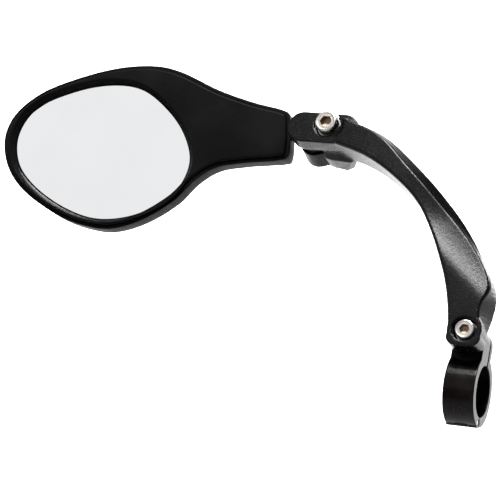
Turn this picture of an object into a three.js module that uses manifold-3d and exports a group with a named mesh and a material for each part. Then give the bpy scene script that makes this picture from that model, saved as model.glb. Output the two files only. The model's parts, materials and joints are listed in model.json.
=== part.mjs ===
// Left-hand bar mirror: hinged bar clamp, swivelling forged arm, ball joint and oval convex mirror head.
// Frame, in mm: origin at the centre of the handlebar bore, +X along the bar, +Y away from the rider, +Z up.
// The bracket is drawn in a plane of its own (x across, y up the clamp neck, z towards the rider), which
// is turned about the bar into place. The head is drawn in its own plane about the ball's centre.
import * as THREE from "three";
import { mergeVertices } from "three/addons/utils/BufferGeometryUtils.js";
import Module from "manifold-3d";

// ---- Driving dimensions -------------------------------------------------------------------------
const TOUCH_GAP = 0.3; // between pieces that touch
const PIN_GAP = 0.3; // radial, around a pin or a bolt shank
const NECK_TILT = 59; // degrees that the bracket plane is turned about the bar

const BAR_DIAMETER = 22.2; // grip part of a flat handlebar
const CLAMP_WIDTH = 13.6; // along the bar
const RING_WALL = 4.3;
const SLIT_WIDTH = 1.2; // between the two jaws beside the bolt
const PIVOT_HEIGHT = 20.8; // bar centre to the swivel bolt
const FRONT_TONGUE = 11; // bar centre plane to the face that the arm turns on
const REAR_TONGUE = 4.6; // bar centre plane to the back of the rear jaw's tongue
const RELIEF_RADIUS = 11.4; // round step in the ring that the arm's end turns in
const HINGE_PIN_DIAMETER = 2;
const HINGE_BARREL_WALL = 1.4;
const HINGE_KNUCKLE = 5; // length of the rear jaw's middle knuckle
const BARREL_CLEARANCE = 0.1; // hinge barrel to the bar
const PIN_INSET = 0.2; // pin ends inside the clamp's sides

const SWIVEL_BOLT = { shank: 5, head: 8.5, headHeight: 5, hex: 4, hexDepth: 2.6 };
const BALL_BOLT = { shank: 6, head: 10, headHeight: 5.4, hex: 5, hexDepth: 3 };
const SCREW_BEVEL = 0.4;
const WASHER_THICKNESS = 0.8;
const WASHER_OVERHANG = 0.5; // washer radius beyond its bolt head

const ARM_FACE = 22; // height of the arm's front face above the bracket plane
const ARM_BACK_LOW = 11.3; // height of its back at the swivel
const ARM_BACK_HIGH = 4.6; // height of its back near the ball
const CREST_DROP = 3.6; // fall of the outer strip from the crest to the edge, at its most
const EDGE_DROP = 0.6; // and at its least, at the lower end
const INNER_BEVEL = 1.2; // bevel down the inner edge
const INNER_BEVEL_SHARE = 0.06; // its share of the face's width
const LUG_END_RADIUS = 7.6; // round lower end of the arm
const LUG_CORNER = { x: 3.5, y: 17.3, radius: 4 }; // its two rounded lower corners
const COUNTERBORE_DEPTH = 6.9;
const COUNTERBORE_CLEARANCE = 1.1;

const BALL_CENTRE = { x: -91.3, y: 110, z: 5 };
const BALL_BOLT_PLACE = { x: -80, y: 111.6 };
const BALL_DIAMETER = 11.6;
const SEAT_THICKNESS = 0.7;
const CUP_RADIUS = 8; // outside of the front cup around the ball
const CUP_RIM_RADIUS = 7.1; // outside of both cups where they face each other
const CAP_RADIUS = 7.7; // outside of the cap at its back
const CUP_OPENING = 7; // between the two cups, for the stem to swing in
const CUP_LUG_FACE = 19.6; // height of the spot-faced flat
const BALL_BOLT_SEAT = 15.6; // floor of the counterbore in it
const LUG_END = { x: -91.6, y: 109.6, radius: 7.3 }; // the lug's round end at its face
const LUG_ROOT = { x: -72, y: 109.2, radius: 7.3 }; // its other end, inside the block
const SPOT_FACE_MARGIN = 2.2; // spot face beyond the ball clamp's bolt head
const CAP_FLOOR = 6.4; // metal behind the rear seat
const CAP_LEAN = { x: 0.5, y: -1.5 }; // the cap's back lies this far off its front
const CAP_EDGE = 0.8; // bevel around the cap's back
const CAP_BOSS_RADIUS = 5.6; // around the bolt's thread
const CAP_SIDE_GAP = 0.5; // cap to the arm's pocket
const BLOCK_REACH = 17.5; // block beyond the ball clamp's bolt, along the arm
const BLOCK_BELOW = 9.8;
const BLOCK_ABOVE = 4;
const BLOCK_CORNER = 1.6; // bevel of its upright corners
const BLOCK_SHOULDER = 9; // height of its right-hand face
// Levels of the block: how far its right-hand face is drawn in and its lower face stands out.
const BLOCK_LEVELS = [
  { z: -6.8, taper: 10, flare: 2.2 },
  { z: 3.6, taper: 5.5, flare: 2.2 },
  { z: 6.5, taper: 1.5, flare: 0 },
  { z: CUP_LUG_FACE, taper: 1.5, flare: 0 },
];
const STEM_DIAMETER = 4;
const STEM_SWEEP_GAP = 0.4; // swing room around the cups for the neck's end

const HEAD_PITCH = 7.7; // degrees, about the bracket's x axis
const HEAD_YAW = 6.1; // degrees, about the pitched y axis
const SHELL_BACK = -8; // heights in the head's own frame
const SHELL_FRONT = 4.4;
const SHELL_WALL = 1.6;
const BACK_ROUNDING = 4.5;
const BEZEL_FRONT = 6;
const BEZEL_THICKNESS = 2.2;
const BEZEL_EDGE = 1; // bevel around its front
const TRAY_WALL = 0.9;
const TRAY_FLOOR = 1.2;
const RECESS_SLOPE = 2; // width of the sloped wall around the lens
const LENS_EDGE_DEPTH = 3.4; // rim to the lens edge
const LENS_THICKNESS = 2;
const LENS_CROWN = 1.7; // bulge of the convex lens
const SILVER_THICKNESS = 0.2;
const PAD_THICKNESS = 0.8;
const STUD_COLLAR = { diameter: 8, thickness: 2, place: -26 };
const SHANK = { diameter: 6, from: -30, to: -12 };
const NECK_SOCKET = { from: -32, to: -8.8, wall: 1.6 }; // solid part of the neck around the shank
const SCREW = { shank: 2.2, head: 4.4, headHeight: 1.6, length: 6.2, hex: 1.5, hexDepth: 1 };
const SCREW_TIP_GAP = 0.4;
const SCREW_BOSS_RADIUS = 2.6;
const SCREW_FLOOR = 2.2; // rear shell's boss in front of the screw heads
const SCREW_PLACES = [
  { x: -38, y: -1.5, underLens: false },
  { x: -84, y: 14, underLens: true },
  { x: -130, y: -18, underLens: true },
  { x: -90, y: -40, underLens: true },
];

// ---- Worked-out sizes ---------------------------------------------------------------------------
const { degToRad: rad, lerp, smoothstep } = THREE.MathUtils;
const BORE_RADIUS = BAR_DIAMETER / 2;
const RING_RADIUS = BORE_RADIUS + RING_WALL;
const HALF_WIDTH = CLAMP_WIDTH / 2;
const BARREL_RADIUS = HINGE_PIN_DIAMETER / 2 + HINGE_BARREL_WALL;
const HINGE_DROP = BORE_RADIUS + BARREL_RADIUS + BARREL_CLEARANCE; // bar centre to the hinge pin
const BALL_RADIUS = BALL_DIAMETER / 2;
const SEAT_INNER = BALL_RADIUS + TOUCH_GAP;
const SEAT_OUTER = SEAT_INNER + SEAT_THICKNESS;
const SOCKET_RADIUS = SEAT_OUTER + TOUCH_GAP;
const CUP_RIM_HIGH = BALL_CENTRE.z + CUP_OPENING / 2;
const CUP_RIM_LOW = BALL_CENTRE.z - CUP_OPENING / 2;
const CAP_BACK = BALL_CENTRE.z - SOCKET_RADIUS - CAP_FLOOR;
const SHELL_INSIDE = SHELL_BACK + SHELL_WALL;
const BOSS_FACE = SHELL_BACK + SCREW.headHeight + SCREW_FLOOR;
const BEZEL_BACK = BEZEL_FRONT - BEZEL_THICKNESS;
const LENS_EDGE = BEZEL_FRONT - LENS_EDGE_DEPTH;
const GLASS_BACK = LENS_EDGE - LENS_THICKNESS;
const SILVER_BACK = GLASS_BACK - TOUCH_GAP - SILVER_THICKNESS;
const PAD_BACK = SILVER_BACK - TOUCH_GAP - PAD_THICKNESS;
const TRAY_INSIDE = PAD_BACK - TOUCH_GAP;
const TRAY_BACK = TRAY_INSIDE - TRAY_FLOOR;

// Edges of the arm from the swivel to the ball lug: inner edge, front and back of the outer edge, how
// far across the front face the crest runs (0 at the inner edge, 1 at the outer) and the face's height.
const ARM_STATIONS = [
  { inner: [-7.5, 21], outer: [6.4, 21], outerBack: [7.4, 21], crest: 0.97, face: 22 },
  { inner: [-9.4, 31], outer: [5.2, 31.5], outerBack: [9.4, 33], crest: 0.97, face: 22 },
  { inner: [-12.4, 41.5], outer: [8, 40.5], outerBack: [8.2, 42], crest: 0.95, face: 22 },
  { inner: [-17, 52.5], outer: [2.4, 52.5], outerBack: [0.4, 54], crest: 0.95, face: 22 },
  { inner: [-23.4, 65], outer: [-7, 66.4], outerBack: [-9.4, 66.2], crest: 0.8, face: 22 },
  { inner: [-31.5, 77], outer: [-19.5, 80.2], outerBack: [-21.5, 79.6], crest: 0.65, face: 22 },
  { inner: [-43.5, 87.4], outer: [-35, 94.4], outerBack: [-36.5, 93.2], crest: 0.67, face: 22 },
  { inner: [-58.5, 96.4], outer: [-53.2, 108], outerBack: [-54.1, 106.8], crest: 0.88, face: 22 },
  { inner: [-74.5, 101.8], outer: [-74.5, 115.2], outerBack: [-74.6, 114], crest: 0.96, face: 21.4 },
];

// Outside of the mirror head, from the neck's upper corner over the top and back under the neck.
const HEAD_OUTLINE = [
  [-10.4, 6.6], [-11.8, 10.2], [-15, 11.6], [-29, 14], [-47, 18.6], [-67, 26], [-79, 28.1],
  [-97, 26.3], [-118, 19.6], [-138, 9.4], [-149.4, -3], [-151.9, -15], [-147.4, -28.4],
  [-138, -38.6], [-116, -50.2], [-101, -53.6], [-90, -53.6], [-76, -48.4], [-60.6, -37.1],
  [-51.4, -25.8], [-43, -19.6], [-30, -16.2], [-13.4, -13.4], [-9.4, -11.8], [-8.6, -8],
];

// Edge of the lens that shows.
const LENS_OUTLINE = [
  [-101, 17.1], [-119, 12.7], [-138.9, 1.6], [-145.3, -12], [-142.8, -25], [-133.5, -35.2],
  [-114.3, -45.4], [-96.7, -48.8], [-77, -44], [-61.2, -31.9], [-56.6, -17], [-63, -2],
  [-77, 11.2], [-87.5, 16.4],
];

const wasm = await Module();
wasm.setup();

// ---- Tools for making solids --------------------------------------------------------------------
function solid(geometry) {
  const bare = new THREE.BufferGeometry();
  bare.setAttribute("position", geometry.getAttribute("position").clone());
  if (geometry.index) bare.setIndex(geometry.index.clone());
  const merged = mergeVertices(bare, 1e-4);
  return new wasm.Manifold(
    new wasm.Mesh({
      numProp: 3,
      vertProperties: new Float32Array(merged.attributes.position.array),
      triVerts: new Uint32Array(merged.index.array),
    }),
  );
}

function addAll(first, ...rest) {
  return rest.reduce((sum, piece) => sum.add(piece), first);
}

function cutAll(first, ...rest) {
  return rest.reduce((left, piece) => left.subtract(piece), first);
}

function meshOf(name, body, material) {
  const data = body.getMesh();
  const geometry = new THREE.BufferGeometry();
  const places = new Float32Array(data.numVert * 3);
  for (let i = 0; i < data.numVert; i++) {
    places.set(data.vertProperties.subarray(i * data.numProp, i * data.numProp + 3), i * 3);
  }
  geometry.setAttribute("position", new THREE.BufferAttribute(places, 3));
  geometry.setIndex(new THREE.BufferAttribute(data.triVerts, 1));
  geometry.computeVertexNormals();
  const mesh = new THREE.Mesh(geometry, material);
  mesh.name = name;
  return mesh;
}

function box(x0, x1, y0, y1, z0, z1) {
  const geometry = new THREE.BoxGeometry(x1 - x0, y1 - y0, z1 - z0);
  geometry.translate((x0 + x1) / 2, (y0 + y1) / 2, (z0 + z1) / 2);
  return solid(geometry);
}

// A round bar along z from z0 to z1.
function rod(x, y, radius, z0, z1, sides = 40) {
  const geometry = new THREE.CylinderGeometry(radius, radius, z1 - z0, sides);
  geometry.rotateX(Math.PI / 2);
  geometry.translate(x, y, (z0 + z1) / 2);
  return solid(geometry);
}

// A round bar along x from x0 to x1.
function crossRod(y, z, radius, x0, x1, sides = 48) {
  const geometry = new THREE.CylinderGeometry(radius, radius, x1 - x0, sides);
  geometry.rotateZ(Math.PI / 2);
  geometry.translate((x0 + x1) / 2, y, z);
  return solid(geometry);
}

function ball(x, y, z, radius) {
  const geometry = new THREE.SphereGeometry(radius, 28, 16);
  geometry.rotateX(Math.PI / 2);
  geometry.translate(x, y, z);
  return solid(geometry);
}

// A flat plate with a given outline, from z0 to z1.
function plate(points, z0, z1) {
  const shape = new THREE.Shape(points.map(([x, y]) => new THREE.Vector2(x, y)));
  const geometry = new THREE.ExtrudeGeometry(shape, { depth: z1 - z0, bevelEnabled: false });
  geometry.translate(0, 0, z0);
  return solid(geometry);
}

// The outline around two circles and the straight sides that touch both.
function roundedLink(a, b, sides = 18) {
  const along = Math.atan2(b.y - a.y, b.x - a.x);
  const lean = Math.acos((a.radius - b.radius) / Math.hypot(b.x - a.x, b.y - a.y));
  const arc = (c, from, to) =>
    Array.from({ length: sides + 1 }, (_, i) => {
      const turn = from + ((to - from) * i) / sides;
      return [c.x + c.radius * Math.cos(turn), c.y + c.radius * Math.sin(turn)];
    });
  return [
    ...arc(a, along + lean, along + 2 * Math.PI - lean),
    ...arc(b, along - lean, along + lean),
  ];
}

// A smooth closed outline through the given points, counterclockwise, moved inwards by inset, which
// is a number or a function of the place.
function smoothOutline(points, inset, count) {
  const places = points.map(([x, y]) => new THREE.Vector3(x, y, 0));
  const curve = new THREE.CatmullRomCurve3(places, true, "centripetal");
  return Array.from({ length: count }, (_, i) => {
    const at = curve.getPointAt(i / count);
    const along = curve.getTangentAt(i / count);
    const by = typeof inset === "function" ? inset(at) : inset;
    return [at.x - along.y * by, at.y + along.x * by];
  });
}

// A closed solid through a stack of rings that all have the same number of [x, y, z] points.
function stack(rings) {
  const count = rings[0].length;
  const places = rings.flat(2);
  const faces = [];
  rings.slice(1).forEach((_, level) => {
    for (let i = 0; i < count; i++) {
      const a = level * count + i;
      const b = level * count + ((i + 1) % count);
      faces.push(a, b, b + count, a, b + count, a + count);
    }
  });
  [0, rings.length - 1].forEach((level, last) => {
    const flat = rings[level].map(([x, y]) => new THREE.Vector2(x, y));
    THREE.ShapeUtils.triangulateShape(flat, []).forEach(([a, b, c]) => {
      const start = level * count;
      faces.push(...(last ? [a, b, c] : [c, b, a]).map((i) => i + start));
    });
  });
  const geometry = new THREE.BufferGeometry();
  geometry.setAttribute("position", new THREE.BufferAttribute(new Float32Array(places), 3));
  geometry.setIndex(faces);
  return solid(geometry);
}

function hexSocket(x, y, acrossFlats, z0, z1) {
  return rod(x, y, acrossFlats / Math.sqrt(3), z0, z1, 6);
}

// A socket head cap screw along z with the top of its head at headTop.
function capScrew({ x, y }, size, headTop, tip) {
  const seat = headTop - size.headHeight;
  const bevel = SCREW_BEVEL;
  const r = size.head / 2;
  const profile = [
    [0, tip], [size.shank / 2 - bevel, tip], [size.shank / 2, tip + bevel], [size.shank / 2, seat],
    [r, seat], [r, headTop - bevel], [r - bevel, headTop], [0, headTop],
  ].map(([radius, z]) => new THREE.Vector2(radius, z));
  const geometry = new THREE.LatheGeometry(profile, 40);
  geometry.rotateX(Math.PI / 2);
  geometry.translate(x, y, 0);
  return solid(geometry).subtract(hexSocket(x, y, size.hex, headTop - size.hexDepth, headTop + 1));
}

function washer({ x, y }, size, top) {
  const outer = rod(x, y, size.head / 2 + WASHER_OVERHANG, top - WASHER_THICKNESS, top);
  return outer.subtract(rod(x, y, size.shank / 2 + PIN_GAP, top - WASHER_THICKNESS - 1, top + 1));
}

// ---- Bar clamp ----------------------------------------------------------------------------------
const SWIVEL = { x: 0, y: PIVOT_HEIGHT };

// The outside of one jaw before it is split: ring, tongue with a round end, and nothing of the bore.
function jawBlank(tongueFrom, tongueTo) {
  const ring = crossRod(0, 0, RING_RADIUS, -HALF_WIDTH, HALF_WIDTH, 72);
  const end = rod(SWIVEL.x, SWIVEL.y, HALF_WIDTH, tongueFrom, tongueTo, 48);
  const tongue = box(-HALF_WIDTH, HALF_WIDTH, 0, PIVOT_HEIGHT, tongueFrom, tongueTo);
  return addAll(ring, end, tongue);
}

function barrel(x0, x1, radius) {
  return crossRod(-HINGE_DROP, 0, radius, x0, x1, 28);
}

const bore = crossRod(0, 0, BORE_RADIUS, -HALF_WIDTH - 1, HALF_WIDTH + 1, 72);
const pinHole = barrel(-HALF_WIDTH - 1, HALF_WIDTH + 1, HINGE_PIN_DIAMETER / 2 + PIN_GAP);
const swivelHole = rod(SWIVEL.x, SWIVEL.y, SWIVEL_BOLT.shank / 2 + PIN_GAP, -20, 40);
const BIG = 60;

function frontJaw() {
  const knuckleEdge = HINGE_KNUCKLE / 2 + TOUCH_GAP;
  const half = box(-BIG, BIG, -BIG, BIG, SLIT_WIDTH / 2, BIG);
  const relief = rod(SWIVEL.x, SWIVEL.y, RELIEF_RADIUS, FRONT_TONGUE, BIG, 64);
  const middle = barrel(-knuckleEdge, knuckleEdge, BARREL_RADIUS + TOUCH_GAP);
  let jaw = jawBlank(0, FRONT_TONGUE).intersect(half);
  jaw = cutAll(jaw, bore, relief);
  jaw = addAll(
    jaw,
    barrel(-HALF_WIDTH, -knuckleEdge, BARREL_RADIUS),
    barrel(knuckleEdge, HALF_WIDTH, BARREL_RADIUS),
  );
  return cutAll(jaw, middle, pinHole, swivelHole);
}

function rearJaw() {
  const half = box(-BIG, BIG, -BIG, BIG, -BIG, -SLIT_WIDTH / 2);
  const outerEdge = HINGE_KNUCKLE / 2;
  const side = BARREL_RADIUS + TOUCH_GAP;
  let jaw = jawBlank(-REAR_TONGUE, 0).intersect(half).subtract(bore);
  jaw = cutAll(
    jaw,
    barrel(-HALF_WIDTH - 1, -outerEdge, side),
    barrel(outerEdge, HALF_WIDTH + 1, side),
  );
  jaw = jaw.add(barrel(-outerEdge, outerEdge, BARREL_RADIUS));
  return cutAll(jaw, pinHole, swivelHole);
}

function hingePin() {
  return barrel(-HALF_WIDTH + PIN_INSET, HALF_WIDTH - PIN_INSET, HINGE_PIN_DIAMETER / 2);
}

// ---- Arm ----------------------------------------------------------------------------------------
const SWIVEL_SEAT = ARM_FACE - COUNTERBORE_DEPTH;
const SWIVEL_WASHER_TOP = SWIVEL_SEAT + TOUCH_GAP + WASHER_THICKNESS;
const SWIVEL_HEAD_TOP = SWIVEL_WASHER_TOP + TOUCH_GAP + SWIVEL_BOLT.headHeight;
const BALL_WASHER_TOP = BALL_BOLT_SEAT + TOUCH_GAP + WASHER_THICKNESS;
const BALL_HEAD_TOP = BALL_WASHER_TOP + TOUCH_GAP + BALL_BOLT.headHeight;

function armEdge(side) {
  const places = ARM_STATIONS.map((s) => new THREE.Vector3(s[side][0], s[side][1], 0));
  return new THREE.CatmullRomCurve3(places);
}

function armValue(name) {
  return new THREE.CatmullRomCurve3(ARM_STATIONS.map((s, i) => new THREE.Vector3(i, s[name], 0)));
}

// The curved beam: a five-sided section that runs between the two edges, deeper towards the ball.
function armBeam() {
  const inner = armEdge("inner");
  const outer = armEdge("outer");
  const outerBack = armEdge("outerBack");
  const share = armValue("crest");
  const faces = armValue("face");
  const steps = 40;
  const sections = [];
  for (let i = 0; i <= steps; i++) {
    const t = i / steps;
    const a = inner.getPoint(t);
    const b = outer.getPoint(t);
    const crest = a.clone().lerp(b, share.getPoint(t).y);
    const back = lerp(ARM_BACK_LOW, ARM_BACK_HIGH, smoothstep(t, 0.15, 0.9));
    const rise = faces.getPoint(t).y;
    const edge = rise - EDGE_DROP - CREST_DROP * smoothstep(t, 0.1, 0.5);
    const skirt = a.clone().lerp(b, INNER_BEVEL_SHARE);
    const c = outerBack.getPoint(t);
    sections.push([
      [a.x, a.y, back], [a.x, a.y, rise - INNER_BEVEL], [skirt.x, skirt.y, rise],
      [crest.x, crest.y, rise], [b.x, b.y, edge], [c.x, c.y, back],
    ]);
  }
  return tube(sections);
}

// A closed solid through flat sections that stand in a row.
function tube(sections) {
  const count = sections[0].length;
  const faces = [];
  for (let s = 0; s < sections.length - 1; s++) {
    for (let i = 0; i < count; i++) {
      const a = s * count + i;
      const b = s * count + ((i + 1) % count);
      faces.push(a, b, b + count, a, b + count, a + count);
    }
  }
  const last = (sections.length - 1) * count;
  for (let i = 1; i < count - 1; i++) {
    faces.push(0, i + 1, i);
    faces.push(last, last + i, last + i + 1);
  }
  const geometry = new THREE.BufferGeometry();
  const places = new Float32Array(sections.flat(2));
  geometry.setAttribute("position", new THREE.BufferAttribute(places, 3));
  geometry.setIndex(faces);
  const body = solid(geometry);
  if (body.volume() > 0) return body;
  for (let i = 0; i < faces.length; i += 3) [faces[i + 1], faces[i + 2]] = [faces[i + 2], faces[i + 1]];
  geometry.setIndex(faces);
  return solid(geometry);
}

// The outline of a lug that runs from the ball, with the given radius there, to another round end.
const ballLink = (radius, end, start = BALL_CENTRE) =>
  roundedLink({ x: start.x, y: start.y, radius }, end);
const level = (points, z) => points.map((p) => [...p, z]);

// One level of the cap's outline, grown by grow, with its share of the cap's lean.
function capLevel(radius, grow, share, z) {
  const [dx, dy] = [CAP_LEAN.x * share, CAP_LEAN.y * share];
  const boss = { x: BALL_BOLT_PLACE.x + dx, y: BALL_BOLT_PLACE.y + dy, radius: CAP_BOSS_RADIUS + grow };
  return level(ballLink(radius + grow, boss, { x: BALL_CENTRE.x + dx, y: BALL_CENTRE.y + dy }), z);
}

// One level of the block behind the ball clamp's bolt.
function blockRing({ z, taper, flare }) {
  const left = BALL_CENTRE.x + CUP_RADIUS - 1;
  const right = BALL_BOLT_PLACE.x + BLOCK_REACH - taper;
  const low = BALL_BOLT_PLACE.y - BLOCK_BELOW;
  const high = BALL_BOLT_PLACE.y + BLOCK_ABOVE;
  const foot = low - flare;
  const c = BLOCK_CORNER;
  return level([
    [left, foot + c], [left + 2 * c, foot + c / 2], [right - 2 * c, foot], [right, foot + c],
    [right, low + BLOCK_SHOULDER], [right + taper - 5 * c, high - c], [left + 2 * c, high], [left, high],
  ], z);
}

// What the arm's end leaves free: the cap, the bolt, the neck's end as it swings, and the spot face.
function ballClampCuts() {
  const bolt = BALL_BOLT_PLACE;
  const gap = CAP_SIDE_GAP;
  const left = BALL_CENTRE.x - 2 * CUP_RADIUS;
  return addAll(
    stack([
      capLevel(CAP_RADIUS, gap, 1, CAP_BACK - CAP_FLOOR), capLevel(CAP_RADIUS, gap, 1, CAP_BACK),
      capLevel(CAP_RADIUS, gap, 0, CUP_RIM_LOW + gap),
    ]),
    rod(BALL_CENTRE.x, BALL_CENTRE.y, CUP_RADIUS + STEM_SWEEP_GAP, -BIG, CUP_RIM_HIGH, 48).intersect(
      box(left, BALL_CENTRE.x + CUP_RADIUS / 2, 0, 3 * BIG, -BIG, CUP_RIM_HIGH),
    ),
    ball(BALL_CENTRE.x, BALL_CENTRE.y, BALL_CENTRE.z, SOCKET_RADIUS),
    rod(bolt.x, bolt.y, BALL_BOLT.shank / 2 + PIN_GAP, -BIG, BIG),
    rod(bolt.x, bolt.y, BALL_BOLT.head / 2 + SPOT_FACE_MARGIN, CUP_LUG_FACE, BIG, 48),
    rod(bolt.x, bolt.y, BALL_BOLT.head / 2 + COUNTERBORE_CLEARANCE, BALL_BOLT_SEAT, BIG, 48),
    box(left, bolt.x, bolt.y - 3 * CUP_RADIUS, bolt.y + 3 * CUP_RADIUS, CUP_LUG_FACE, BIG),
  );
}

function arm() {
  const lug = stack([
    level(ballLink(CUP_RIM_RADIUS, LUG_ROOT), CUP_RIM_HIGH),
    level(ballLink(CUP_RADIUS, LUG_ROOT), BALL_CENTRE.z + BALL_RADIUS),
    level(ballLink(LUG_END.radius, LUG_ROOT, LUG_END), CUP_LUG_FACE),
  ]);
  const lowerEnd = rod(SWIVEL.x, SWIVEL.y, LUG_END_RADIUS, ARM_BACK_LOW, ARM_FACE, 48);
  const corner = LUG_CORNER;
  const corners = plate(roundedLink({ ...corner, x: -corner.x }, corner), ARM_BACK_LOW, ARM_FACE);
  const counterbore = SWIVEL_BOLT.head / 2 + COUNTERBORE_CLEARANCE;
  return cutAll(
    addAll(armBeam(), lug, stack(BLOCK_LEVELS.map(blockRing)), lowerEnd, corners),
    rod(SWIVEL.x, SWIVEL.y, counterbore, SWIVEL_SEAT, BIG, 48),
    swivelHole,
    ballClampCuts(),
  );
}

// ---- Ball clamp ---------------------------------------------------------------------------------
function ballCap() {
  return cutAll(
    stack([
      capLevel(CAP_RADIUS, -CAP_EDGE, 1, CAP_BACK), capLevel(CAP_RADIUS, 0, 1, CAP_BACK + CAP_EDGE),
      capLevel(CUP_RIM_RADIUS, 0, 0, CUP_RIM_LOW),
    ]),
    ball(BALL_CENTRE.x, BALL_CENTRE.y, BALL_CENTRE.z, SOCKET_RADIUS),
    rod(BALL_BOLT_PLACE.x, BALL_BOLT_PLACE.y, BALL_BOLT.shank / 2 + PIN_GAP, -BIG, BIG),
  );
}

// A seat ring: a slice of a ball shell, open at the pole. side is 1 in front of the ball, -1 behind.
function ballSeat(side) {
  const c = BALL_CENTRE;
  const rim = CUP_OPENING / 2;
  const shell = ball(c.x, c.y, c.z, SEAT_OUTER).subtract(ball(c.x, c.y, c.z, SEAT_INNER));
  const zs = [c.z + side * rim, c.z + side * (SEAT_OUTER + 1)].sort((a, b) => a - b);
  const slice = rod(c.x, c.y, SEAT_OUTER + 1, zs[0], zs[1]);
  const pole = rod(c.x, c.y, 1.5, zs[0] - 1, zs[1] + 1, 24);
  return shell.intersect(slice).subtract(pole);
}

// The ball, its stem and the collared shank that the neck holds, in the head's frame.
function ballStud() {
  const stem = crossRod(0, 0, STEM_DIAMETER / 2, SHANK.to, 0, 28);
  const shank = crossRod(0, 0, SHANK.diameter / 2, SHANK.from, SHANK.to, 28);
  const half = STUD_COLLAR.thickness / 2;
  const collar = crossRod(
    0, 0, STUD_COLLAR.diameter / 2, STUD_COLLAR.place - half, STUD_COLLAR.place + half, 28,
  );
  return addAll(ball(0, 0, 0, BALL_RADIUS), stem, shank, collar);
}

// ---- Mirror head, in its own frame about the ball -----------------------------------------------
const OUTLINE_STEPS = 90;
const LENS_STEPS = 54;
const NECK_ROUNDING = 1; // the most that the edges are rounded at the neck's narrow end

// A ring of the head's outline at height z: inset all round, and rounded in further away from the
// neck's end, whose tight corners leave little room.
function headRing(inset, rounding, z) {
  const room = (at) => NECK_ROUNDING + Math.max(0, (-at.x - 16) * 0.4);
  const by = (at) => inset + Math.min(rounding, room(at));
  return smoothOutline(HEAD_OUTLINE, by, OUTLINE_STEPS).map((p) => [...p, z]);
}

const lensRing = (inset, z) => smoothOutline(LENS_OUTLINE, inset, LENS_STEPS).map((p) => [...p, z]);

// The hole around the stud in the neck, grown by gap.
function studSocket(gap) {
  const half = STUD_COLLAR.thickness / 2 + gap;
  return addAll(
    crossRod(0, 0, SHANK.diameter / 2 + gap, SHANK.from - gap, 2, 28),
    crossRod(
      0, 0, STUD_COLLAR.diameter / 2 + gap, STUD_COLLAR.place - half, STUD_COLLAR.place + half, 28,
    ),
  );
}

function neckSocketBlock(z0, z1) {
  const reach = STUD_COLLAR.diameter / 2 + TOUCH_GAP + NECK_SOCKET.wall;
  return box(NECK_SOCKET.from, NECK_SOCKET.to, -reach, reach, z0, z1);
}

function rearShell() {
  const outside = stack([
    headRing(0, BACK_ROUNDING * 1.1, SHELL_BACK),
    headRing(0, BACK_ROUNDING * 0.42, SHELL_BACK + BACK_ROUNDING * 0.3),
    headRing(0, 0.4, SHELL_BACK + BACK_ROUNDING),
    headRing(0, 0, SHELL_FRONT - 0.8),
    headRing(0, 0.6, SHELL_FRONT),
  ]);
  const inside = stack([
    headRing(SHELL_WALL, BACK_ROUNDING, SHELL_INSIDE),
    headRing(SHELL_WALL, 0, SHELL_BACK + BACK_ROUNDING + 0.6),
    headRing(SHELL_WALL, 0, SHELL_FRONT + 1),
  ]);
  const bosses = SCREW_PLACES.map(({ x, y }) =>
    rod(x, y, SCREW_BOSS_RADIUS, SHELL_INSIDE - 1, BOSS_FACE, 24),
  );
  const socket = neckSocketBlock(SHELL_INSIDE - 1, -TOUCH_GAP / 2).intersect(
    stack([headRing(1, 0, SHELL_BACK + 1), headRing(1, 0, SHELL_FRONT)]),
  );
  return cutAll(
    addAll(outside.subtract(inside), socket, ...bosses),
    studSocket(TOUCH_GAP),
    ...SCREW_PLACES.map(screwHead),
    ...SCREW_PLACES.map(screwShaft),
  );
}

function screwHead({ x, y }) {
  const radius = SCREW.head / 2 + PIN_GAP;
  return rod(x, y, radius, SHELL_BACK - 1, SHELL_BACK + SCREW.headHeight + PIN_GAP, 24);
}

function screwShaft({ x, y }) {
  const radius = SCREW.shank / 2 + PIN_GAP;
  return rod(x, y, radius, SHELL_BACK - 1, SHELL_BACK + SCREW.length + SCREW_TIP_GAP, 20);
}

function shellScrew({ x, y }) {
  const top = SHELL_BACK + SCREW.headHeight;
  return addAll(
    rod(x, y, SCREW.head / 2, SHELL_BACK, top, 24),
    rod(x, y, SCREW.shank / 2, SHELL_BACK, SHELL_BACK + SCREW.length, 20),
  ).subtract(hexSocket(x, y, SCREW.hex, SHELL_BACK - 1, SHELL_BACK + SCREW.hexDepth));
}

function frontBezel() {
  const inset = SHELL_WALL + TOUCH_GAP;
  const cover = stack([
    headRing(inset, 0, BEZEL_BACK), headRing(inset, 0, BEZEL_FRONT - BEZEL_EDGE),
    headRing(inset, BEZEL_EDGE, BEZEL_FRONT),
  ]);
  const around = -TRAY_WALL - TOUCH_GAP;
  const tray = stack([lensRing(around, TRAY_BACK), lensRing(around, BEZEL_BACK + 0.5)]);
  const well = stack([lensRing(-TOUCH_GAP, TRAY_INSIDE), lensRing(-TOUCH_GAP, LENS_EDGE)]);
  const recess = stack([
    lensRing(-TOUCH_GAP, LENS_EDGE - 0.1),
    lensRing(-RECESS_SLOPE * 0.75, (LENS_EDGE + BEZEL_FRONT) / 2),
    lensRing(-RECESS_SLOPE, BEZEL_FRONT + 1),
  ]);
  const bosses = SCREW_PLACES.map(({ x, y, underLens }) => {
    const top = underLens ? TRAY_INSIDE : BEZEL_FRONT - 1;
    return rod(x, y, SCREW_BOSS_RADIUS, BOSS_FACE + TOUCH_GAP, top - 0.2, 24);
  });
  const socket = neckSocketBlock(TOUCH_GAP / 2, BEZEL_BACK + 0.5).intersect(
    stack([headRing(inset, 0, -1), headRing(inset, 0, BEZEL_FRONT)]),
  );
  return cutAll(
    addAll(cover, tray, socket, ...bosses),
    well,
    recess,
    studSocket(TOUCH_GAP),
    ...SCREW_PLACES.map(screwShaft),
  );
}

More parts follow.
